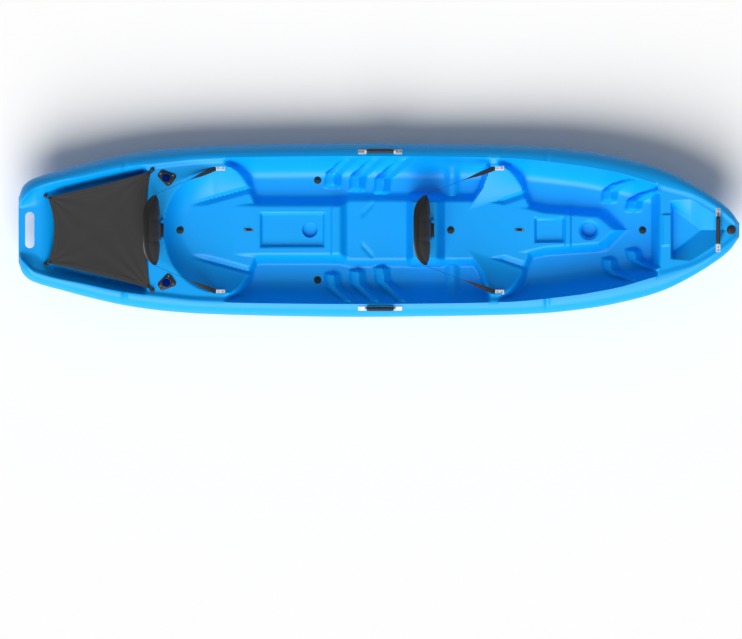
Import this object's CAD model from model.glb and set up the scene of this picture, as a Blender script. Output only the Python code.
import math

import bmesh
import bpy
import numpy as np
from mathutils import Matrix, Vector


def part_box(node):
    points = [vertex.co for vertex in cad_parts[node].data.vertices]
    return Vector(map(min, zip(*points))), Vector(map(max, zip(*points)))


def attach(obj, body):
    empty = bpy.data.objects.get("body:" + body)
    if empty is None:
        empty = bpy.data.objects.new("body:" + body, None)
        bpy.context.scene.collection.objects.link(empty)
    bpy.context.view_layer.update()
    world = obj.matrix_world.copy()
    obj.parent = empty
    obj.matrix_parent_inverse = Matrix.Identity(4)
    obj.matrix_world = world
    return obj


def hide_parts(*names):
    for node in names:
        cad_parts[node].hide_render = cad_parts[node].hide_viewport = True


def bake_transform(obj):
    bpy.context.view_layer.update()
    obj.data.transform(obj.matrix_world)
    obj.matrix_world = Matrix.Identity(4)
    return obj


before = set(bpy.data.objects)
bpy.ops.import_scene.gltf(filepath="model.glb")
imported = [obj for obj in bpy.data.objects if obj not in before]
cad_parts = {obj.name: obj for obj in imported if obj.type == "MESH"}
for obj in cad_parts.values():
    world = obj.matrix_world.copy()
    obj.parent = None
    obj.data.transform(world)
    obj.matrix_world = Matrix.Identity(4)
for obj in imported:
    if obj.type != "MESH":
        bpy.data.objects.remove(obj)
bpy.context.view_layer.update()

# ---- hull ----
# One seamless rotomoulded shell of linear polyethylene: deck, gunwales and bottom come out of a
# single mould. Its surface is one grid of stations, and the scupper tubes, the stern grab slot,
# the rod holder wells and the drain are bored through it afterwards.
MM = 0.001
HALF_LENGTH = 1850
BEAM = [(-1850, 165), (-1826, 225), (-1780, 262), (-1610, 313), (-1486, 346), (-1300, 387),
        (-1110, 414), (-870, 431), (-500, 441), (-100, 446), (300, 442), (660, 435), (850, 426),
        (1100, 398), (1345, 346), (1470, 305), (1590, 246), (1715, 170), (1800, 103), (1850, 34)]
RIDGE = [(-1850, 140), (-1763, 220), (-1500, 283), (-1305, 323), (-1110, 347), (-920, 366),
         (-600, 376), (-100, 380), (300, 377), (640, 370), (1005, 335), (1110, 318), (1240, 292),
         (1377, 252), (1510, 216), (1600, 190), (1722, 125), (1800, 66), (1850, 18)]
SHEER = [(-1850, 248), (-1838, 284), (-1800, 300), (-1735, 290), (-1500, 279), (-1300, 266),
         (-1000, 256), (-600, 253), (0, 253), (450, 256), (770, 268), (1000, 283), (1300, 302),
         (1600, 322), (1760, 340), (1825, 336), (1850, 307)]
CHINE = [(-1850, 248), (-1780, 226), (-1420, 200), (-1180, 184), (-700, 175), (0, 174), (600, 191),
         (940, 210), (1270, 235), (1520, 268), (1770, 302), (1850, 307)]
BILGE = [(-1850, 248), (-1790, 158), (-1662, 114), (-1263, 92), (-704, 76), (0, 75), (600, 80),
         (1020, 96), (1355, 139), (1607, 172), (1775, 212), (1850, 307)]
KEEL = [(-1850, 248), (-1835, 200), (-1803, 152), (-1735, 108), (-1660, 90), (-1600, 58),
        (-1540, 22), (-1480, 2), (-1440, 0), (1490, 0), (1560, 12), (1640, 44), (1705, 84),
        (1768, 140), (1805, 190), (1832, 240), (1850, 307)]
CENTRE_RUN = [(-1100, 140), (-760, 140), (-620, 152), (-252, 152), (-238, 166), (-206, 166),
              (-160, 120), (140, 120), (176, 240), (290, 240), (342, 140), (700, 140), (830, 152),
              (1300, 152)]
CONSOLE_TOP = [(-760, 120), (-600, 116), (-202, 116), (-150, 141), (560, 141), (760, 104),
               (850, 82), (1128, 60), (1189, 0), (1273, -60)]
CONSOLE_FOOT = [(-760, 196), (-600, 180), (-202, 180), (-150, 198), (560, 190), (760, 156),
                (850, 136), (1171, 114), (1273, 6)]
STEP_TOP = [(130, -640), (190, -668), (226, -675), (267, -705), (306, -742), (340, -800)]
STEP_FOOT = [(130, -604), (215, -636), (285, -650), (326, -687), (353, -763)]
CREASE_REAR = [(-976, 130), (-675, 212)]
CREASE_FRONT = [(448, 88), (746, 190)]
WING_AFT = [(89, 446), (213, 535), (300, 566), (340, 575)]
TANK_FOOT = [(-1850, 108), (-1760, 118), (-1700, 176), (-1500, 230), (-1305, 266), (-1190, 288)]
BOW_FLOOR = [(1455, 118), (1501, 118), (1655, 0), (1776, -70)]
BOW_BRIM = [(1455, 128), (1510, 150), (1600, 158), (1722, 80), (1776, 4)]
PADDLE_RESTS = (-1305, 864)
CUPS = (-355, 1078)
SCUPPERS = [(-1021, 0), (368, 0), (1353, 0), (-315, 256), (-315, -256)]
HINGES = (-1114, 274)
SEAT_SHIFT = 1402
# Heights of the stern platform, the seat pans, the footwell floors and the flat of the consoles
PLATFORM_Z, SEAT_PAN, FLOOR_Z, CONSOLE_Z = 246, 140, 84, 152
# What stands up from the deck: foot braces, thigh bulges, the console's bar and the bow's lip
BRACE_HEIGHT, BULGE, BAR_RISE, LIP_RISE = 46, 22, 13, 9
# What is sunk in it: seat creases, trays, cup holders, nicks, tank well, bow well, paddle rests
CREASE, TRAY_DEPTH, CUP_DEPTH, NICK, TANK_DEPTH, BOW_WELL, NOTCH = 18, 22, 46, 7, 98, 60, 12
# How far the seats' edges and the foredeck lie under the gunwale, and the steps in the keel rise
SEAT_DROP, FOREDECK_DROP, KEEL_STEP = 14, 5, 13
# Openings: the grab slot's place, end radius and half length, then places and radii of the bores
SLOT_X, SLOT_RADIUS, SLOT_HALF = -1792, 23.5, 69.5
ROD_HOLDER, ROD_HOLE, SCUPPER_HOLE = (-1092, 269), 25.4, 19.5
DRAIN_X, DRAIN_HOLE = 1808, 18.4


def ramp(v, a, b):
    """0 before a, 1 after b, and smooth between them."""
    t = np.clip((v - a) / (b - a), 0, 1)
    return t * t * (3 - 2 * t)


def mix(a, b, t):
    return a + (b - a) * t


def between(x, a, b, run):
    """1 from a to b and 0 outside, each change spread over a run."""
    return ramp(x, a - run / 2, a + run / 2) * (1 - ramp(x, b - run / 2, b + run / 2))


def along(points, x):
    """Straight runs between points."""
    return np.interp(x, [p[0] for p in points], [p[1] for p in points])


def curve(points, x):
    """Smooth curve through points that never overshoots them."""
    px, py = np.array(points, float).T
    slope = np.diff(py) / np.diff(px)
    a, b = slope[:-1], slope[1:]
    both = np.where(a * b > 0, a + b, 1)
    tangent = np.concatenate([slope[:1], np.where(a * b > 0, 2 * a * b / both, 0), slope[-1:]])
    x = np.clip(x, px[0], px[-1])
    i = np.clip(np.searchsorted(px, x, side="right") - 1, 0, len(px) - 2)
    h = px[i + 1] - px[i]
    t = (x - px[i]) / h
    u = 1 - t
    return ((1 + 2 * t) * u * u * py[i] + t * u * u * h * tangent[i]
            + t * t * (3 - 2 * t) * py[i + 1] - t * t * u * h * tangent[i + 1])


def brace(x, a, crest, inner):
    """A moulded foot brace: share of its height, long face aft of the crest and short one ahead."""
    u = x - along(crest, a)
    aft = np.interp(u, [-46, -38, 0], [0, 0.45, 1])
    return np.where(u < 0, aft, np.clip(1 - u / 40, 0, 1)) * ramp(a, inner - 14, inner + 8)


def groove(u):
    """A crease in a seat: sharp at 0, wider on the inboard side."""
    return np.clip(np.where(u < 0, 1 + u / 28, 1 - u / 15), 0, 1)


def tray(x, a, x0, x1, w):
    """A flat-floored recess with its sides spread over 14 mm."""
    return np.minimum(np.minimum(ramp(x, x0, x0 + 14), 1 - ramp(x, x1 - 14, x1)),
                      1 - ramp(a, w - 12, w))


def deck_height(x, y):
    """Height of the deck in millimetres over a place in the plan."""
    a, rim, r = abs(y), curve(SHEER, x), curve(RIDGE, x)
    floor_z = FLOOR_Z + np.clip(x - 1130, 0, None) * 0.13
    bulkhead = mix(floor_z, rim - 5, ramp(x, 1394, 1446))
    t = np.clip((r - a) / 120, 0, 1)
    side = mix(rim, bulkhead, (1 - (1 - t) ** 2.2) * ramp(t, -0.05, 0.1))
    braces = 0 * x
    for k in range(3):
        inner = 226 - 17 * k
        crest = [(inner, -235 + 126 * k), (290 - 13 * k, -228 + 127 * k), (366, -143 + 141 * k)]
        braces = np.maximum(braces, brace(x, a, crest, inner))
    toes = np.maximum(
        brace(x, a, [(150, 1184), (200, 1192), (232, 1232), (262, 1330)], 150),
        brace(x, a, [(104, 1308), (150, 1318), (184, 1376), (214, 1470)], 104))
    bulge = between(x, 350, 400, 40) * ramp(a, 150, 180) * (1 - ramp(a, 300, 345))
    wells = np.minimum(
        rim, side + BRACE_HEIGHT * (braces + toes) * (1 - ramp(a, r - 24, r)) + BULGE * bulge)

    deck_z = rim - SEAT_DROP * ramp(r - a, 2, 30)
    q = np.hypot(np.minimum(0, x + 820) / 284, a / 323)
    q0 = along([(-1102, 0.80), (-976, 0.62), (-850, 0.50), (-675, 0.66)], x)
    crease = ramp(x, -990, -850) * groove(a - along(CREASE_REAR, x))
    rise = np.clip((q - q0) / (1 - q0), 0, 1) ** 1.5
    bowl = mix(SEAT_PAN, deck_z, rise) - CREASE * crease
    rear = 1 - ramp(x, along(STEP_TOP, a), along(STEP_FOOT, a))

    f0 = along(CREASE_FRONT, x)
    crease = ramp(x, 440, 570) * groove(a - f0)
    rise = np.clip((a - f0 - 8) / (320 - f0), 0, 1) ** 1.5
    wing = mix(SEAT_PAN, deck_z, rise) - CREASE * crease
    wing_aft = along(WING_AFT, a)
    front = ramp(x, wing_aft - 30, wing_aft) * (
        1 - ramp(x - SEAT_SHIFT, along(STEP_TOP, a), along(STEP_FOOT, a)))
    seats = np.where(x < -500, mix(wells, bowl, rear), mix(wells, wing, front))

    foot = 1 - ramp(a, along(CONSOLE_TOP, x), along(CONSOLE_FOOT, x))
    console = np.where((x < -1000) | (x > 1290), seats,
                       np.maximum(seats, mix(floor_z, curve(CENTRE_RUN, x), foot)))
    trays = np.maximum(tray(x, a, -613, -278, 90), tray(x, a, 796, 953, 66))
    nicks = groove(a - along([(-92, 75), (-26, 147)], x)) * between(x, -88, -30, 10) * (x < 0)
    bar = between(x, 955, 984, 8) * (1 - ramp(a, 96, 102))
    cockpit = console - TRAY_DEPTH * trays + BAR_RISE * bar - NICK * nicks

    tank_z = mix(PLATFORM_Z, rim - TANK_DEPTH, ramp(x, -1746, -1600))
    tank = (1 - ramp(a, along(TANK_FOOT, x), r - 2)) * (1 - ramp(x, -1222, -1182))
    aft = mix(deck_z, tank_z, tank)

    brim, bed = along(BOW_BRIM, x), along(BOW_FLOOR, x)
    well = np.clip((brim - a) / (brim - bed), 0, 1) * ramp(x, 1499, 1506) * (x <= 1776)
    lip = between(x, 1455, 1499, 8) * (1 - ramp(a, 76, 84))
    fore = rim - FOREDECK_DROP * ramp(r - a, 0, 30) - BOW_WELL * well + LIP_RISE * lip
    return np.where(x < -1110, aft, np.where(x < 1446, cockpit, fore))


def deck_at(x, y):
    """Height of the deck over one place."""
    return float(deck_height(np.array([float(x)]), np.array([float(y)]))[0])


def mesh_object(name, points, faces):
    """A mesh from points in millimetres, smooth but for edges over 40 degrees."""
    mesh = bpy.data.meshes.new(name)
    mesh.from_pydata([tuple(p) for p in np.asarray(points, float) * MM], [], faces)
    mesh.update()
    obj = bpy.data.objects.new(name, mesh)
    bpy.context.scene.collection.objects.link(obj)
    return smooth(obj)


def smooth(obj, degrees=40):
    """Smooth shading but for edges sharper than an angle."""
    obj.data.shade_smooth()
    obj.data.set_sharp_from_angle(angle=math.radians(degrees))
    return obj


def apply_modifiers(obj):
    """Bakes the modifiers into a plain mesh."""
    depsgraph = bpy.context.evaluated_depsgraph_get()
    mesh = bpy.data.meshes.new_from_object(obj.evaluated_get(depsgraph))
    obj.modifiers.clear()
    obj.data = mesh
    return obj


def colour(hex_value):
    """An sRGB hex colour as linear RGBA."""
    parts = [int(hex_value[i:i + 2], 16) / 255 for i in (1, 3, 5)]
    return [c / 12.92 if c <= 0.04045 else ((c + 0.055) / 1.055) ** 2.4 for c in parts] + [1]


def node(tree, kind, settings=None, **links):
    """Adds a node, sets its properties and fills or links its inputs by name."""
    made = tree.nodes.new(kind)
    for key, value in (settings or {}).items():
        setattr(made, key, value)
    for key, value in links.items():
        socket = made.inputs[int(key[1:])] if key[0] == "_" else made.inputs[key.replace("_", " ")]
        if isinstance(value, bpy.types.NodeSocket):
            tree.links.new(value, socket)
        else:
            socket.default_value = value
    return made


def material(name, base, **values):
    """A Principled material, with its tree and its shader to build on."""
    made = bpy.data.materials.new(name)
    made.use_nodes = True
    tree = made.node_tree
    shader = tree.nodes["Principled BSDF"]
    shader.inputs["Base Color"].default_value = colour(base)
    for key, value in values.items():
        shader.inputs[key.replace("_", " ")].default_value = value
    return made, tree, shader


def ring_faces(m, n, loop=False):
    """The faces through m rings of n points; the end rings are closed unless they make a loop."""
    made = [(i * n + j, i * n + (j + 1) % n, (i + 1) % m * n + (j + 1) % n, (i + 1) % m * n + j)
            for i in range(m if loop else m - 1) for j in range(n)]
    if not loop:
        made += [tuple(range(n - 1, -1, -1)), tuple(range((m - 1) * n, m * n))]
    return made


stations = np.concatenate([
    -HALF_LENGTH + np.array([0.6, 1.5, 3, 5, 8, 11, 14.5]),
    np.linspace(-HALF_LENGTH + 18, HALF_LENGTH - 18, 514),
    HALF_LENGTH - np.array([14, 10, 7, 4.5, 2.5, 1.2, 0.6])])
half_deck = np.concatenate([np.linspace(0, 0.94, 66), [0.955, 0.97, 0.985, 1]])
gunwale_out = np.sin(np.radians([14, 28, 42, 54, 66, 78, 90]))
gunwale_down = curve([(0, 0), (0.38, 0.13), (0.88, 0.66), (1, 1)], gunwale_out)
# Places round the bottom, from the chine to the keel, and what each takes of chine and bilge
turn = np.linspace(0, 6, 15)[1:]
bottom_out = curve(list(enumerate([1, 0.985, 0.955, 0.72, 0.42, 0.16, 0])), turn)
from_chine = curve(list(enumerate([1, 0.45, 0, 0, 0, 0, 0])), turn)
from_keel = curve(list(enumerate([0, 0, 0, 0.64, 0.90, 1, 1])), turn)

rings = []
for x in stations:
    r, b, rim, chine, bilge, keel = (
        float(curve(line, np.array([x]))[0]) for line in (RIDGE, BEAM, SHEER, CHINE, BILGE, KEEL))
    # the keel steps up round each scupper on the centreline
    keel += KEEL_STEP * max(between(np.array([x]), s[0] - 98, s[0] + 104, 22)[0] for s in SCUPPERS[:3])
    cut = NOTCH * max(max(0, 1 - abs(x - n) / 20) for n in PADDLE_RESTS)
    across = half_deck * r
    z = deck_height(np.full(len(across), x), across) - cut * ramp(half_deck, 0.90, 0.97)
    near_end = min(1, (HALF_LENGTH - abs(x)) / 15)
    z = mix(chine, z, near_end ** 0.5)
    half = list(zip(across, z))
    half += [(mix(r, b, out), mix(rim if near_end == 1 else z[-1], chine, down) - cut * (1 - down))
             for out, down in zip(gunwale_out, gunwale_down)]
    half += [(b * out, c * chine + k * keel + (1 - c - k) * bilge)
             for out, c, k in zip(bottom_out, from_chine, from_keel)]
    other = [(-y, h) for y, h in half[-2:0:-1]]
    rings.append([(x, y, h) for y, h in half + other])
hull = mesh_object("hull", [p for ring in rings for p in ring], ring_faces(len(rings), len(rings[0])))


def cut_out(obj, tool, itself=False):
    """Takes a tool's shape out of a piece; itself allows for a tool that crosses itself."""
    cut = obj.modifiers.new("cut", "BOOLEAN")
    cut.object, cut.operation, cut.solver, cut.use_self = tool, "DIFFERENCE", "EXACT", itself
    apply_modifiers(obj)
    bpy.data.objects.remove(tool)


def outward(obj):
    """Turns every face outwards."""
    made = bmesh.new()
    made.from_mesh(obj.data)
    bmesh.ops.recalc_face_normals(made, faces=made.faces)
    made.to_mesh(obj.data)
    made.free()
    return obj


def prism(name, outline, low, high):
    """An upright closed prism over an outline in plan."""
    n = len(outline)
    points = [(x, y, h) for h in (low, high) for x, y in outline]
    sides = [(i, (i + 1) % n, n + (i + 1) % n, n + i) for i in range(n)]
    return mesh_object(name, points, [tuple(range(n - 1, -1, -1)), tuple(range(n, 2 * n))] + sides)


def circle(x, y, radius, count=48):
    """Points round a circle in plan."""
    turns = [2 * math.pi * i / count for i in range(count)]
    return [(x + radius * math.cos(t), y + radius * math.sin(t)) for t in turns]


def lathe(name, x, y, profile):
    """A closed turned shape on an upright axis from radii and heights."""
    points = [(px, py, h) for radius, h in profile for px, py in circle(x, y, radius, 72)]
    m, n = len(profile), 72
    return mesh_object(name, points, ring_faces(m, n))


# the cutters reach from under the keel to over the gunwale, but stop where a bore is blind
UNDER, OVER, ROD_FLOOR, DRAIN_FLOOR = -20, 400, 127, 310
slot = []
for turn in np.radians(np.arange(7.5, 360, 15)):
    slot.append((SLOT_X + SLOT_RADIUS * math.cos(turn),
                 math.copysign(SLOT_HALF, math.sin(turn)) + SLOT_RADIUS * math.sin(turn)))
cutters = [prism("cutter", circle(x, y, SCUPPER_HOLE), UNDER, 300) for x, y in SCUPPERS]
cutters.append(prism("cutter", slot, UNDER, OVER))
cutters += [prism("cutter", circle(ROD_HOLDER[0], side * ROD_HOLDER[1], ROD_HOLE), ROD_FLOOR, OVER)
            for side in (-1, 1)]
cutters.append(prism("cutter", circle(DRAIN_X, 0, DRAIN_HOLE), DRAIN_FLOOR, OVER))
# each cup holder is turned: a shoulder a fifth of the way down, then a steep wall to its floor
reach = np.concatenate([np.linspace(34, 43, 8), np.linspace(44, 54, 8)])
cup_wall = CONSOLE_Z + 0.1 - CUP_DEPTH * (
    1 - 0.2 * ramp(reach, 43, 54) - 0.8 * ramp(reach, 35, 43))
cutters += [lathe("cutter", x, 0, list(zip(reach, cup_wall)) + [(54, OVER)]) for x in CUPS]
for cutter in cutters:
    outward(cutter)
# join() leaves one object, made of all the closed cutters
tool = cutters[0]
with bpy.context.temp_override(active_object=tool, selected_editable_objects=cutters):
    bpy.ops.object.join()
cut_out(hull, tool)
smooth(hull, 38)

# Rotomoulded polyethylene: even, saturated blue with a soft satin gloss and the faint orange
# peel, about 3 mm across, that the mould's surface leaves.
polyethylene, tree, shader = material(
    "rotomoulded_polyethylene", "#00a5fa", Roughness=0.42, IOR=1.51, Specular_IOR_Level=0.3)
place = node(tree, "ShaderNodeTexCoord")
peel = node(tree, "ShaderNodeTexNoise", Vector=place.outputs["Object"], Scale=330, Detail=2)
relief = node(tree, "ShaderNodeBump", Strength=0.05, Distance=0.0004, Height=peel.outputs["Fac"])
tree.links.new(relief.outputs["Normal"], shader.inputs["Normal"])
hull.data.materials.clear()
hull.data.materials.append(polyethylene)
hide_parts("hull_shell", "scupper_tubes", "slot_liner",
            *[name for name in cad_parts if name.startswith("deck_")])
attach(hull, "hull")

# ---- fittings from the frame ----
# Moulded nylon flanges, knobs, anchors and end plates, the polyethylene hinge lugs, stainless pins
# and rubber plugs. Each keeps the size it has in the frame and gets the small edge radius that its
# mould or its lathe leaves.


def link(obj):
    """Puts an object in the scene."""
    bpy.context.scene.collection.objects.link(obj)
    return obj


def rounded(obj, radius, segments, degrees):
    """Rounds a piece's edges over an angle, by a radius in mm."""
    edge = obj.modifiers.new("edge", "BEVEL")
    edge.width, edge.segments = radius * MM, segments
    edge.limit_method, edge.angle_limit = "ANGLE", math.radians(degrees)
    return apply_modifiers(obj)


def from_frame(source, radius, finish, body):
    """A piece with a CAD node's shape, its flat faces joined up and its edges rounded, in mm."""
    obj = link(bpy.data.objects.new(source + "_part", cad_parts[source].data.copy()))
    made = bmesh.new()
    made.from_mesh(obj.data)
    bmesh.ops.remove_doubles(made, verts=made.verts, dist=1e-6)
    bmesh.ops.dissolve_limit(made, angle_limit=math.radians(0.5), verts=made.verts,
                             edges=made.edges)
    made.to_mesh(obj.data)
    made.free()
    obj.data.materials.clear()
    obj.data.materials.append(finish)
    if radius:
        rounded(obj, radius, 2, 35)
    smooth(obj, 35)
    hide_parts(source)
    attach(obj, body)
    return obj


def grained(name, base, roughness, grain_mm, depth_mm, **values):
    """A material with an even grain, its size and depth in mm."""
    made, tree, shader = material(name, base, Roughness=roughness, **values)
    place = node(tree, "ShaderNodeTexCoord")
    grain = node(tree, "ShaderNodeTexNoise", Vector=place.outputs["Object"],
                 Scale=1000 / grain_mm, Detail=3)
    relief = node(tree, "ShaderNodeBump", Strength=0.4, Distance=depth_mm * MM,
                  Height=grain.outputs["Fac"])
    tree.links.new(relief.outputs["Normal"], shader.inputs["Normal"])
    return made


# Injection-moulded nylon: near-black and light grey, a little rough from a spark-eroded mould.
black_nylon = grained("spark_textured_black_nylon", "#1d1f20", 0.5, 1.2, 0.05, IOR=1.53)
grey_nylon = grained("spark_textured_grey_nylon", "#cdd0d3", 0.45, 1.2, 0.04, IOR=1.53)
# Moulded rubber: dull, very dark green-black, so that the plugs read as soft against the shell.
plug_rubber = grained("moulded_rubber", "#1c2c2b", 0.75, 1.5, 0.05, IOR=1.52)
# Passivated stainless steel: satin, with a soft broad highlight.
stainless = grained("passivated_stainless_steel", "#c8c8c5", 0.28, 0.6, 0.01, Metallic=1.0)

for source, radius, finish, slot_name in (
        ("hinge_lugs_rear", 1.5, polyethylene, "blue_polyethylene"),
        ("hinge_lugs_front", 1.5, polyethylene, "blue_polyethylene"),
        ("hinge_pin_rear", 0.5, stainless, "stainless_steel"),
        ("hinge_pin_front", 0.5, stainless, "stainless_steel"),
        ("rod_holder_port", 1.0, black_nylon, "black_nylon"),
        ("rod_holder_starboard", 1.0, black_nylon, "black_nylon"),
        ("drain_collar", 0.8, black_nylon, "black_nylon"),
        ("strap_anchors", 1.2, grey_nylon, "grey_nylon"),
        ("handle_plates_port", 1.0, grey_nylon, "grey_nylon"),
        ("handle_plates_starboard", 1.0, grey_nylon, "grey_nylon"),
        ("handle_plates_bow", 1.0, grey_nylon, "grey_nylon"),
        ("cover_knobs", 1.0, black_nylon, "black_nylon"),
        ("seat_eyes", 0.6, black_nylon, "black_nylon")):
    from_frame(source, radius, finish, "hull")
# the holders' tubes, 22 mm in radius, are lined with the hull's own blue
LINING_REACH = 22.6
for side_name, side in (("port", 1), ("starboard", -1)):
    holder = bpy.data.objects["rod_holder_%s_part" % side_name]
    holder.data.materials.append(polyethylene)
    axis = Vector((ROD_HOLDER[0], side * ROD_HOLDER[1])) * MM
    lined = {v.index for v in holder.data.vertices if (v.co.xy - axis).length < LINING_REACH * MM}
    for face in holder.data.polygons:
        face.material_index = int(lined.issuperset(face.vertices))
for name in ("seat_rear", "seat_front", "bow", "well_port", "well_starboard"):
    from_frame("plug_" + name, 1.0, plug_rubber, "plug_" + name)
from_frame("drain_bung", 1.0, black_nylon, "drain_bung")

# ---- screws ----
# Pan-headed stainless self-tappers hold every fitting. Each head has a cross recess 1.1 mm wide,
# cut square to the screw's own axis.
RECESS_LENGTH, RECESS_WIDTH, RECESS_DEPTH = 4.6, 1.1, 2.2


def islands(mesh):
    """The points of each separate piece of a mesh."""
    made = bmesh.new()
    made.from_mesh(mesh)
    left, found = set(made.verts), []
    while left:
        reach, group = [left.pop()], []
        while reach:
            vert = reach.pop()
            group.append(vert.co.copy())
            for edge in vert.link_edges:
                other = edge.other_vert(vert)
                if other in left:
                    left.remove(other)
                    reach.append(other)
        found.append(np.array(group))
    made.free()
    return found


for source in ("anchor_screws", "handle_screws", "rod_holder_screws", "eye_screws"):
    screws = from_frame(source, 0, stainless, "hull")
    blades = bmesh.new()
    for points in islands(screws.data):
        middle = (points.max(0) + points.min(0)) / 2
        axis = np.linalg.svd(points - points.mean(0))[2][0]
        axis *= math.copysign(1, axis[2])
        top = middle + axis * ((points - middle) @ axis).max()
        upright = Vector(axis).to_track_quat("Z", "X").to_matrix().to_4x4()
        for size in ((RECESS_LENGTH, RECESS_WIDTH), (RECESS_WIDTH, RECESS_LENGTH)):
            shape = Matrix.Diagonal((size[0] * MM, size[1] * MM, RECESS_DEPTH * MM, 1))
            bmesh.ops.create_cube(blades, size=1,
                                  matrix=Matrix.Translation(Vector(top)) @ upright @ shape)
    tool = link(bpy.data.objects.new("blades", bpy.data.meshes.new("blades")))
    blades.to_mesh(tool.data)
    blades.free()
    cut_out(screws, tool, itself=True)
    smooth(screws, 35)

# ---- carry handles ----
# A nylon bail swings on two pins in its end plates. A sleeve of soft ribbed rubber covers the grip.
# The sleeve's half length and radius, and how far the bail's top is over the grip's axis
GRIP_REACH, GRIP_RADIUS, GRIP_TOP = 59, 10.1, 10
RIB_PITCH, RIB_HEIGHT, SLEEVE_WALL = 4.0, 0.55, 0.5
grip_rubber = grained("ribbed_soft_rubber", "#2b2c2d", 0.7, 1.0, 0.05, IOR=1.52)


def closed_sweep(name, rings, loop=False):
    """A closed mesh through rings of points in mm, each ring the same way round."""
    points = [p for ring in rings for p in ring]
    return outward(mesh_object(name, points, ring_faces(len(rings), len(rings[0]), loop)))


for name in ("port", "starboard", "bow"):
    body = "handle_" + name
    from_frame(body, 1.2, black_nylon, body)
    low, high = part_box(body)
    centre = np.array((low + high) / 2) / MM
    centre[2] = high.z / MM - GRIP_TOP
    along_y = name == "bow"
    rings = []
    for s in np.linspace(-GRIP_REACH, GRIP_REACH, 237):
        rib = RIB_HEIGHT * (0.5 - 0.5 * math.cos(2 * math.pi * s / RIB_PITCH))
        r = GRIP_RADIUS + rib + SLEEVE_WALL * min(1, (GRIP_REACH - abs(s)) / 2)
        ring = [(r * math.cos(t), r * math.sin(t)) for t in np.linspace(0, 2 * math.pi, 33)[:-1]]
        rings.append([centre + (np.array([a, s, b]) if along_y else np.array([s, a, b]))
                      for a, b in ring])
    sleeve = closed_sweep("grip_sleeve_" + name, rings)
    sleeve.data.materials.append(grip_rubber)
    smooth(sleeve, 60)
    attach(sleeve, body)

# ---- backrests ----
# Each backrest is a moulded black polyethylene shell on a hinge at its foot. Its top edge curls
# aft. A foam pad in woven polyester is sewn round its rim with a corded seam and quilted in three.
REST_LINE = [(0, -17), (0.12, -21), (0.30, -17), (0.50, -17), (0.68, -24), (0.84, -44), (1, -90)]
REST_HALF, REST_HEIGHT, REST_WALL = 180, 176, 8
# The pad keeps in from the shell's edge by a share of its height; it stands off by its base,
# and by its crown as well away from its seams, before the cloth is blown up
PAD_INSET, PAD_BASE, PAD_CROWN = 0.07, 4, 5
REST_BOW, HINGE_RISE = 24, 12
KNUCKLE_HALF, KNUCKLE_RADIUS = 35, 9


def rest_point(u, v, out, inset):
    """A point of the backrest about its hinge, out mm in front of its face."""
    b = abs(u)
    crown, foot = 1 - 0.42 * b ** 2.6, 0.07 + 0.26 * b ** 3 + inset
    h = mix(foot, crown - inset, v)
    lean, ahead = curve(REST_LINE, np.array([h / crown, h / crown + 0.02]))
    run = (ahead - lean) / (0.02 * REST_HEIGHT)
    n = math.hypot(1, run)
    return np.array([lean * (1 - 0.85 * b ** 4) - REST_BOW * b ** 3 + out / n,
                     u * (REST_HALF - inset * REST_HEIGHT), h * REST_HEIGHT - out * run / n])


def rest_layer(count_u, count_v, out, inset):
    """A grid of points; out may be a function of the place on the face."""
    return [[rest_point(u, v, out(u, v) if callable(out) else out, inset)
             for v in np.linspace(0, 1, count_v)] for u in np.linspace(-1, 1, count_u)]


def slab(name, front, back, origin):
    """A closed slab between two grids of points, and the points round the front grid's edge."""
    m, n = len(front), len(front[0])
    points = [p + origin for grid in (front, back) for row in grid for p in row]
    faces = []
    for i in range(m - 1):
        for j in range(n - 1):
            a = i * n + j
            faces.append((a, a + n, a + n + 1, a + 1))
            faces.append((a + m * n, a + m * n + 1, a + m * n + n + 1, a + m * n + n))
    rim = ([(i, 0) for i in range(m)] + [(m - 1, j) for j in range(1, n)]
           + [(i, n - 1) for i in range(m - 2, -1, -1)] + [(0, j) for j in range(n - 2, 0, -1)])
    rim = [i * n + j for i, j in rim]
    faces += [(rim[k - 1], rim[k], rim[k] + m * n, rim[k - 1] + m * n) for k in range(len(rim))]
    return outward(mesh_object(name, points, faces)), rim


# Rotomoulded polyethylene in black, satin, a little worn.
black_polyethylene = grained("rotomoulded_black_polyethylene", "#1f2021", 0.42, 3, 0.1, IOR=1.51)


def woven(name, base, thread_mm, roughness):
    """Plain-woven cloth on the UV map, which is in metres: threads over and under each other."""
    made, tree, shader = material(name, base, Roughness=roughness, Sheen_Weight=0.08)
    place = node(tree, "ShaderNodeUVMap")
    heights = []
    for turn in (0, math.pi / 2):
        turned = node(tree, "ShaderNodeMapping", Vector=place.outputs["UV"], Rotation=(0, 0, turn))
        heights.append(node(tree, "ShaderNodeTexWave", Vector=turned.outputs["Vector"],
                            Scale=math.pi / (10 * thread_mm * MM) / 2, Distortion=0))
    both = node(tree, "ShaderNodeMath", {"operation": "MULTIPLY"},
                _0=heights[0].outputs["Fac"], _1=heights[1].outputs["Fac"])
    relief = node(tree, "ShaderNodeBump", Strength=0.5, Distance=0.25 * thread_mm * MM,
                  Height=both.outputs["Value"])
    tree.links.new(relief.outputs["Normal"], shader.inputs["Normal"])
    return made


# Woven polyester: matt, near-black, its threads about 0.8 mm across.
pad_cloth = woven("woven_polyester_cloth", "#1b1c1d", 0.8, 0.8)
# Polypropylene webbing and cord: matt black, drawn with ribs 1.2 mm across.
webbing = woven("woven_polypropylene_webbing", "#1a1b1c", 1.2, 0.8)


def flat_uv(obj, across, up):
    """A UV map in metres, along two directions."""
    layer = obj.data.uv_layers.new(name="cloth")
    for loop in obj.data.loops:
        co = obj.data.vertices[loop.vertex_index].co
        layer.data[loop.index].uv = (co.dot(Vector(across)), co.dot(Vector(up)))


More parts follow.
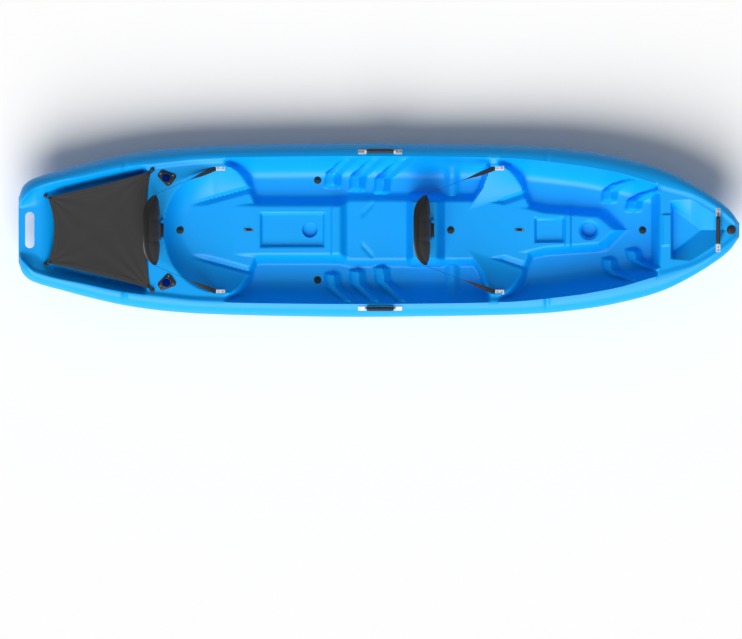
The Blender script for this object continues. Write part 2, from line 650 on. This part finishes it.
def tube(path, radius, sides=10, closed=True):
    """Rings of points round a path in mm."""
    path = np.array(path, float)
    ahead = np.roll(path, -1, 0) - np.roll(path, 1, 0)
    if not closed:
        ahead[0], ahead[-1] = path[1] - path[0], path[-1] - path[-2]
    rings = []
    for p, d in zip(path, ahead):
        frame_at = Vector(d).to_track_quat("Z", "Y").to_matrix()
        rings.append([p + np.array(frame_at @ Vector((radius * math.cos(t), radius * math.sin(t), 0)))
                      for t in np.linspace(0, 2 * math.pi, sides + 1)[:-1]])
    return rings


def even(path, step, closed=True):
    """A path with points at even steps."""
    path = np.array(path, float)
    if closed:
        path = np.vstack([path, path[:1]])
    run = np.concatenate([[0], np.cumsum(np.linalg.norm(np.diff(path, axis=0), axis=1))])
    at = np.linspace(0, run[-1], max(8, round(run[-1] / step)) + 1)
    if closed:
        at = at[:-1]
    return np.array([np.interp(at, run, path[:, k]) for k in range(3)]).T


def stitch_tree():
    """Stitches along a line: a short round thread at each pitch, laid along the line."""
    tree = bpy.data.node_groups.new("stitches", "GeometryNodeTree")
    face = tree.interface
    face.new_socket("Line", in_out="INPUT", socket_type="NodeSocketGeometry")
    for name, value in (("Pitch", 0.006), ("Thread radius", 0.0004), ("Stitch length", 0.0042)):
        face.new_socket(name, in_out="INPUT", socket_type="NodeSocketFloat").default_value = value
    face.new_socket("Thread", in_out="INPUT", socket_type="NodeSocketMaterial")
    face.new_socket("Stitches", in_out="OUTPUT", socket_type="NodeSocketGeometry")
    given = tree.nodes.new("NodeGroupInput").outputs
    line = node(tree, "GeometryNodeMeshToCurve", Mesh=given["Line"])
    paced = node(tree, "GeometryNodeResampleCurve", {"mode": "LENGTH"}, Curve=line.outputs["Curve"],
                 Length=given["Pitch"])
    thread = node(tree, "GeometryNodeMeshCylinder", Vertices=6, Radius=given["Thread radius"],
                  Depth=given["Stitch length"])
    way = node(tree, "GeometryNodeInputTangent")
    lay = node(tree, "FunctionNodeAlignRotationToVector", {"axis": "Z"},
               Vector=way.outputs["Tangent"])
    put = node(tree, "GeometryNodeInstanceOnPoints", Points=paced.outputs["Curve"],
               Instance=thread.outputs["Mesh"], Rotation=lay.outputs["Rotation"])
    real = node(tree, "GeometryNodeRealizeInstances", Geometry=put.outputs["Instances"])
    coat = node(tree, "GeometryNodeSetMaterial", Geometry=real.outputs["Geometry"],
                Material=given["Thread"])
    out = tree.nodes.new("NodeGroupOutput")
    tree.links.new(coat.outputs["Geometry"], out.inputs["Stitches"])
    return tree


# Bonded polyester thread: dull grey, lighter than the cloth so that the seams show.
thread_finish = grained("bonded_polyester_thread", "#55585a", 0.6, 0.5, 0.02)
seam_tree = stitch_tree()


def stitches(name, lines, closed=False):
    """Stitches along lines of points in mm, as one plain mesh."""
    points = [p for line in lines for p in line]
    edges, start = [], 0
    for line in lines:
        edges += [(start + i, start + i + 1) for i in range(len(line) - 1)]
        if closed:
            edges.append((start + len(line) - 1, start))
        start += len(line)
    mesh = bpy.data.meshes.new(name)
    mesh.from_pydata([tuple(np.array(p) * MM) for p in points], edges, [])
    obj = link(bpy.data.objects.new(name, mesh))
    made = obj.modifiers.new("stitches", "NODES")
    made.node_group = seam_tree
    for item in seam_tree.interface.items_tree:
        if item.name == "Thread":
            made[item.identifier] = thread_finish
    apply_modifiers(obj)
    return obj


for end, x in zip(("rear", "front"), HINGES):
    body = "backrest_" + end
    hinge = np.array([x, 0, deck_at(x, 0) + HINGE_RISE])
    shell = slab("backrest_shell_" + end, rest_layer(61, 25, 0, 0),
                 rest_layer(61, 25, -REST_WALL, 0), hinge)[0]
    rounded(shell, 3, 3, 50)
    smooth(shell, 50)
    shell.data.materials.append(black_polyethylene)
    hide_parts("backrest_" + end)
    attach(shell, body)

    # the knuckle: a tube round the pin and the web that carries it into the shell
    turns = np.radians(np.arange(0, 360, 15))
    ring = [(KNUCKLE_RADIUS * math.cos(t), KNUCKLE_RADIUS * math.sin(t)) for t in turns]
    knuckle = closed_sweep("backrest_knuckle_" + end, [
        [hinge + (a, y, b) for a, b in ring] for y in (-KNUCKLE_HALF, KNUCKLE_HALF)])
    knuckle.data.materials.append(black_polyethylene)
    web = closed_sweep("backrest_web_" + end, [
        [hinge + (a, y, b) for a, b in ((-25, -4), (-3, -4), (-3, 9), (-14, 21), (-25, 21))]
        for y in (-KNUCKLE_HALF, KNUCKLE_HALF)])
    web.data.materials.append(black_polyethylene)
    for piece in (knuckle, web):
        rounded(piece, 1.2, 2, 40)
        smooth(piece)
        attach(piece, body)

    # the pad: cloth blown up between its pinned seams and quilting lines
    columns, rows = 61, 27
    quilts = (20, 40)

    def plump(u, v):
        near = min(abs((u + 1) / 2 * (columns - 1) - q) for q in quilts) / 4
        side = min(1, (1 - abs(u)) * 12, v * 8, (1 - v) * 8)
        return PAD_BASE + PAD_CROWN * min(1, near, side)

    pad, rim = slab("backrest_cushion_" + end, rest_layer(columns, rows, plump, PAD_INSET),
                    rest_layer(columns, rows, 0.6, PAD_INSET), hinge)
    pinned = pad.vertex_groups.new(name="pinned")
    held = set(range(columns * rows, 2 * columns * rows)) | set(rim)
    held |= {q * rows + j for q in quilts for j in range(rows)}
    pinned.add(sorted(held), 1.0, "ADD")
    cloth = pad.modifiers.new("cloth", "CLOTH")
    cloth.settings.quality, cloth.settings.mass = 6, 0.3
    cloth.settings.tension_stiffness = cloth.settings.compression_stiffness = 25
    cloth.settings.bending_stiffness = 2
    cloth.settings.use_pressure, cloth.settings.uniform_pressure_force = True, 9
    cloth.settings.vertex_group_mass = "pinned"
    cloth.settings.effector_weights.gravity = 0
    cloth.collision_settings.use_collision = False
    cloth.point_cache.frame_end = 24
    for step in range(1, 25):
        bpy.context.scene.frame_set(step)
    apply_modifiers(pad)
    bpy.context.scene.frame_set(1)
    pad.vertex_groups.clear()
    smooth(pad, 60)
    pad.data.materials.append(pad_cloth)
    flat_uv(pad, (0, 1, 0), (0, 0, 1))
    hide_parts("backrest_pad_" + end)
    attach(pad, body)

    # the corded seam round the pad, and the quilting stitches
    edge_line = ([rest_point(u, 0, 3, PAD_INSET) for u in np.linspace(-1, 1, 50)]
                 + [rest_point(1, v, 3, PAD_INSET) for v in np.linspace(0, 1, 12)[1:]]
                 + [rest_point(u, 1, 3, PAD_INSET) for u in np.linspace(1, -1, 50)[1:]]
                 + [rest_point(-1, v, 3, PAD_INSET) for v in np.linspace(1, 0, 12)[1:-1]])
    piping = closed_sweep("pad_piping_" + end, tube(even(np.array(edge_line) + hinge, 4), 2.4),
                          loop=True)
    piping.data.materials.append(pad_cloth)
    flat_uv(piping, (0, 1, 0), (0, 0, 1))
    smooth(piping, 60)
    seams = stitches("pad_stitches_" + end, [
        [rest_point(-1 + 2 * q / (columns - 1), v, 4.3, PAD_INSET) + hinge
         for v in np.linspace(0.04, 0.96, 20)] for q in quilts])
    for piece in (piping, seams):
        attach(piece, body)

# ---- backrest straps ----
# 25 mm polypropylene webbing runs from each end of a backrest to a grey anchor on the deck. It
# stands on edge at the backrest and twists flat before the anchor.
ANCHORS = ((-813, 317), (619, 318))
ANCHOR_LENGTH, ANCHOR_THICK = 46, 5
WEB_WIDTH, WEB_THICK = 25, 2
STRAP_STEPS = 72
WEB_EDGE = [(-12.5, 0), (-12.2, -0.8), (-11.4, -1), (11.4, -1), (12.2, -0.8), (12.5, 0), (12.2, 0.8),
            (11.4, 1), (-11.4, 1), (-12.2, 0.8)]

for end, x, (anchor_x, anchor_y) in zip(("rear", "front"), HINGES, ANCHORS):
    hinge_z = deck_at(x, 0) + HINGE_RISE
    for side_name, side in (("port", 1), ("starboard", -1)):
        far = np.array([anchor_x - ANCHOR_LENGTH / 2, side * anchor_y,
                        deck_at(anchor_x, side * anchor_y) + ANCHOR_THICK - 1.6])
        near = np.array([x - REST_BOW - 10, side * (REST_HALF + 4), hinge_z + 0.5 * REST_HEIGHT])
        rings, run = [], np.linalg.norm(far - near)
        for t in np.linspace(0, 1, STRAP_STEPS + 1):
            p = mix(near, far, t) - np.array([0, 0, 26 * t * (1 - t)])
            turn = math.radians(90 * (1 - float(ramp(t, 0.50, 0.97))))
            wide = np.array([0, math.cos(turn), math.sin(turn)])
            thick = np.array([0, -math.sin(turn), math.cos(turn)])
            rings.append([p + a * wide + b * thick for a, b in WEB_EDGE])
        strap = closed_sweep("strap_%s_%s_webbing" % (end, side_name), rings)
        layer = strap.data.uv_layers.new(name="cloth")
        for loop in strap.data.loops:
            i, j = divmod(loop.vertex_index, len(WEB_EDGE))
            layer.data[loop.index].uv = (WEB_EDGE[j][0] * MM, i / STRAP_STEPS * run * MM)
        strap.data.materials.append(webbing)
        smooth(strap, 60)
        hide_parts("strap_%s_%s" % (end, side_name))
        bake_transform(strap)

# ---- tank well cover ----
# A sheet of coated polyester is stretched over the tank well. Its edges are cut hollow, hemmed
# with a 22 mm fold and sewn twice; each corner has an eyelet, and an elastic loop goes to a knob.
COVER_AFT, COVER_FORE = (-1701, 169), (-1172, 302)
HOLLOW_AFT, HOLLOW_FORE, COVER_SAG, HEM = 34, 28, 5, 22
COVER_AFT_Z, COVER_FORE_Z = PLATFORM_Z + 8, deck_at(*COVER_FORE) + 4


def cover_point(s, t, up=0.0):
    """A point of the cover: s from its aft edge to its fore edge, t from starboard to port."""
    aft = COVER_AFT[0] + HOLLOW_AFT * (1 - t * t)
    fore = COVER_FORE[0] - HOLLOW_FORE * (1 - t * t)
    half = mix(COVER_AFT[1], COVER_FORE[1], s) - 6 * math.sin(math.pi * s)
    folds = 0.0
    for cs, ct, size in ((0, -1, 180), (0, 1, 180), (1, -1, 240), (1, 1, 240)):
        away = math.hypot((s - cs) * 500, (t - ct) * half)
        angle = math.atan2(abs(t - ct) * half, abs(s - cs) * 500 + 1e-6)
        folds += 1.5 * math.sin(angle * 14) * math.exp(-away / size) * min(1, away / 40)
    z = mix(COVER_AFT_Z, COVER_FORE_Z, s) - COVER_SAG * math.sin(math.pi * s) * (1 - t * t)
    return np.array([mix(aft, fore, s), t * half, z + 2 + folds * math.sin(math.pi * s) ** 0.3 + up])


def thicken(obj, wall):
    """Gives a sheet its thickness, in mm."""
    made = obj.modifiers.new("cloth", "SOLIDIFY")
    made.thickness, made.offset = wall * MM, 0
    apply_modifiers(obj)
    return smooth(outward(obj), 60)


def surface(name, grid):
    """An open sheet through a grid of points."""
    m, n = len(grid), len(grid[0])
    faces = [(i * n + j, (i + 1) * n + j, (i + 1) * n + j + 1, i * n + j + 1)
             for i in range(m - 1) for j in range(n - 1)]
    return mesh_object(name, [p for row in grid for p in row], faces)


# Coated woven polyester: matt charcoal with a faint sheen, its weave drawn 1.2 mm across.
cover_cloth = woven("coated_woven_polyester", "#303030", 1.2, 0.8)
cover = surface("cover_sheet", [[cover_point(s, t) for t in np.linspace(-1, 1, 97)]
                                for s in np.linspace(0, 1, 89)])
thicken(cover, 1.0)

# The hem along each edge is a second layer over the sheet: its run across and its run along
hem_s, hem_t = HEM / 510, HEM / 235
full, middle = np.linspace(-1, 1, 97), np.linspace(hem_s, 1 - hem_s, 89)
hem_runs = ((np.linspace(0.001, hem_s, 4), full), (np.linspace(1 - hem_s, 0.999, 4), full),
            (middle, np.linspace(-0.999, -1 + hem_t, 4)), (middle, np.linspace(1 - hem_t, 0.999, 4)))
hems = [thicken(surface("cover_hem_%d" % k, [[cover_point(s, t, 1.0) for t in ts] for s in ss]), 0.9)
        for k, (ss, ts) in enumerate(hem_runs)]
seam_lines = []
for share in (0.2, 0.85):
    s0, t0 = hem_s * share, hem_t * share
    seam_lines.append(
        [cover_point(s0, t, 1.5) for t in np.linspace(-1 + t0, 1 - t0, 60)]
        + [cover_point(s, 1 - t0, 1.5) for s in np.linspace(s0, 1 - s0, 60)[1:]]
        + [cover_point(1 - s0, t, 1.5) for t in np.linspace(1 - t0, -1 + t0, 60)[1:]]
        + [cover_point(s, -1 + t0, 1.5) for s in np.linspace(1 - s0, s0, 60)[1:-1]])
cover_seams = stitches("cover_stitches", seam_lines, closed=True)

# Eyelets and elastic loops at the four corners, each loop round its knob's neck, with the knob's
# place off the corner, its neck's radius and the cord's
KNOB_OUT, KNOB_NECK, CORD = 12, 6, 2.5
rings_made, loops_made = [], []
EYELET_RADIUS, EYELET_WIRE = 6, 1.5
for s, t in ((0, -1), (0, 1), (1, -1), (1, 1)):
    at = cover_point(abs(s - 0.022), t * 0.955, 1.6)
    eyelet = closed_sweep("cover_eyelet_%d_%d" % (s, t > 0), tube(
        [at + (EYELET_RADIUS * math.cos(a), EYELET_RADIUS * math.sin(a), 0)
         for a in np.linspace(0, 2 * math.pi, 25)[:-1]], EYELET_WIRE), loop=True)
    base = COVER_FORE if s else COVER_AFT
    x = base[0] + (KNOB_OUT if s else -KNOB_OUT) * 0.8
    y = t * (base[1] + KNOB_OUT * 0.6)
    knob = np.array([x, y, deck_at(x, y) + 9.5])
    way = math.atan2(knob[1] - at[1], knob[0] - at[0])
    around = KNOB_NECK + CORD + 0.2
    path = [knob + (around * math.cos(way + a), around * math.sin(way + a), 0)
            for a in np.linspace(-1.7, 1.7, 19)]
    path += [at + (2.6 * math.cos(way + a), 2.6 * math.sin(way + a), 1.0)
             for a in np.linspace(1.7, 2 * math.pi - 1.7, 13)]
    loop = closed_sweep("cover_loop_%d_%d" % (s, t > 0), tube(even(path, 2.5), CORD, 12), loop=True)
    eyelet.data.materials.append(black_nylon)
    loop.data.materials.append(webbing)
    flat_uv(loop, (1, 0, 0), (0, 1, 0))
    for piece in (eyelet, loop):
        smooth(piece, 60)
    rings_made.append(eyelet)
    loops_made.append(loop)
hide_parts("cover_loops")
for piece in [cover] + hems:
    piece.data.materials.append(cover_cloth)
    flat_uv(piece, (1, 0, 0), (0, 1, 0))
for piece in [cover, cover_seams] + hems + rings_made:
    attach(piece, "hull")
for piece in loops_made:
    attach(piece, "hull")
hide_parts("tank_cover")

# ---- stage, camera and light ----
# A pale studio floor, the camera straight overhead and far off, and one broad soft light from the
# starboard side with a weak fill.
REACH, UNDER_KEEL = 30000, -1
corners = [(-REACH, -REACH), (REACH, -REACH), (REACH, REACH), (-REACH, REACH)]
floor = mesh_object("floor", [(x, y, UNDER_KEEL) for x, y in corners], [(0, 1, 2, 3)])
floor.data.materials.append(material("studio_paper", "#ffffff", Roughness=0.9)[0])

camera_data = bpy.data.cameras.new("camera")
camera_data.type = "ORTHO"
camera_data.ortho_scale = 3.808
camera = bpy.data.objects.new("camera", camera_data)
camera.location = (-0.041, -0.459, 8)
bpy.context.scene.collection.objects.link(camera)
bpy.context.scene.camera = camera

sun = bpy.data.lights.new("key", "SUN")
sun.energy, sun.angle = 3.55, math.radians(50)
light = bpy.data.objects.new("key", sun)
light.rotation_euler = Vector((0.2, 1.0, -0.95)).to_track_quat("-Z", "Y").to_euler()
bpy.context.scene.collection.objects.link(light)
bpy.context.scene.view_settings.view_transform = "Standard"
world = bpy.context.scene.world or bpy.data.worlds.new("world")
bpy.context.scene.world = world
world.use_nodes = True
world.node_tree.nodes["Background"].inputs["Color"].default_value = colour("#ffffff")
world.node_tree.nodes["Background"].inputs["Strength"].default_value = 0.22
